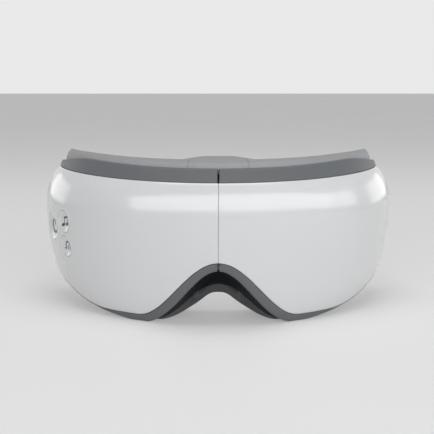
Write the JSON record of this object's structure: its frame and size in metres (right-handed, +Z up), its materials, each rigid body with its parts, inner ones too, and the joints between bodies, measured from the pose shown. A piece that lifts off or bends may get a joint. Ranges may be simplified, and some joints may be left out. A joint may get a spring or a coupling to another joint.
{
  "type": "eye massager",
  "caption": "Folding wraparound eye massager mask with a gloss white shell, grey trim and padded lining, two arms, side buttons and an elastic head band.",
  "frame": {"origin": "middle of the box round the mask and its band, on the surface that the foot of the frame stands on", "axes": "+X towards the wearer's left, which is the picture's right, +Y from the front of the mask back towards the head, +Z up"},
  "size_m": [0.2086, 0.1782, 0.0906],
  "materials": {
    "shell": "glossy moulded white plastic",
    "buttons": "glossy white keys with printed grey icons",
    "trim": "satin dark grey plastic",
    "pad": "soft matte light grey artificial leather over foam",
    "inner_black": "matte black plastic",
    "steel": "bare steel",
    "pump": "motor can with a plastic head",
    "board": "green circuit board",
    "flex": "amber film with printed tracks",
    "battery": "foil pouch",
    "hose": "milky silicone tube",
    "air_cell": "thin welded film bag",
    "strap": "ribbed grey elastic webbing"
  },
  "bodies": {
    "right_half": {"front_shell_right": "shell", "trim_frame_right": "trim", "centre_wall_right": "inner_black", "face_pad_right": "pad", "nose_skin": "pad", "hinge_leaf_right": "steel", "hinge_pin": "steel", "hinge_screws_right": "steel", "battery": "battery", "air_pump": "pump", "air_valve": "inner_black", "air_hose_right": "hose", "hinge_loom": "hose", "air_cell_right": "air_cell", "heating_film_right": "flex", "speaker_right": "inner_black", "vibration_motor_right": "steel", "charging_socket": "steel", "charging_board": "board", "case_screws_right": "steel", "arm_cap_right": "trim", "strap_bar_right": "steel", "head_strap": "strap", "strap_tab": "strap"},
    "left_half": {"front_shell_left": "shell", "trim_frame_left": "trim", "centre_wall_left": "inner_black", "face_pad_left": "pad", "hinge_leaf_left": "steel", "hinge_screws_left": "steel", "air_hose_left": "hose", "air_cell_left": "air_cell", "heating_film_left": "flex", "speaker_left": "inner_black", "vibration_motor_left": "steel", "case_screws_left": "steel", "arm_cap_left": "trim", "strap_bar_left": "steel", "tact_switches": "inner_black", "button_flex": "flex", "switch_carrier": "inner_black", "main_board": "board"},
    "power_button": {"power_button": "buttons"},
    "music_button": {"music_button": "buttons"},
    "mode_button": {"mode_button": "buttons"},
    "eccentric_weight_left": {"eccentric_weight_left": "steel"},
    "eccentric_weight_right": {"eccentric_weight_right": "steel"},
    "pump_rotor": {"pump_rotor": "steel"},
    "valve_plunger": {"valve_plunger": "steel"}
  },
  "joints": [
    {"name": "fold", "type": "hinge", "parent": "right_half", "child": "left_half", "pos_m": [0, -0.05812, 0.04], "axis": [0, 0, -1], "range_deg": [0, 105], "deforming": ["nose_skin", "hinge_loom", "head_strap", "strap_tab"]},
    {"name": "power_press", "type": "slide", "parent": "left_half", "child": "power_button", "axis": [0.8917, 0.4482, 0.0638], "range_m": [0, 0.0006], "stiffness_N_per_m": 1500, "springref_m": -0.0003},
    {"name": "music_press", "type": "slide", "parent": "left_half", "child": "music_button", "axis": [0.7798, 0.6252, 0.0304], "range_m": [0, 0.0006], "stiffness_N_per_m": 1500, "springref_m": -0.0003},
    {"name": "mode_press", "type": "slide", "parent": "left_half", "child": "mode_button", "axis": [0.775, 0.6213, 0.1153], "range_m": [0, 0.0006], "stiffness_N_per_m": 1500, "springref_m": -0.0003},
    {"name": "pump_turn", "type": "hinge", "parent": "right_half", "child": "pump_rotor", "pos_m": [0.07384, -0.04955, 0.058], "axis": [0.7034, 0.7108, 0], "continuous": true},
    {"name": "valve_lift", "type": "slide", "parent": "right_half", "child": "valve_plunger", "axis": [0, 0, 1], "range_m": [0, 0.0015], "stiffness_N_per_m": 150, "springref_m": -0.001},
    {"name": "vibration_turn_right", "type": "hinge", "parent": "right_half", "child": "eccentric_weight_right", "pos_m": [0.08581, -0.03319, 0.0605], "axis": [0, 0, 1], "continuous": true},
    {"name": "vibration_turn_left", "type": "hinge", "parent": "left_half", "child": "eccentric_weight_left", "pos_m": [-0.08581, -0.03319, 0.0605], "axis": [0, 0, 1], "continuous": true}
  ]
}
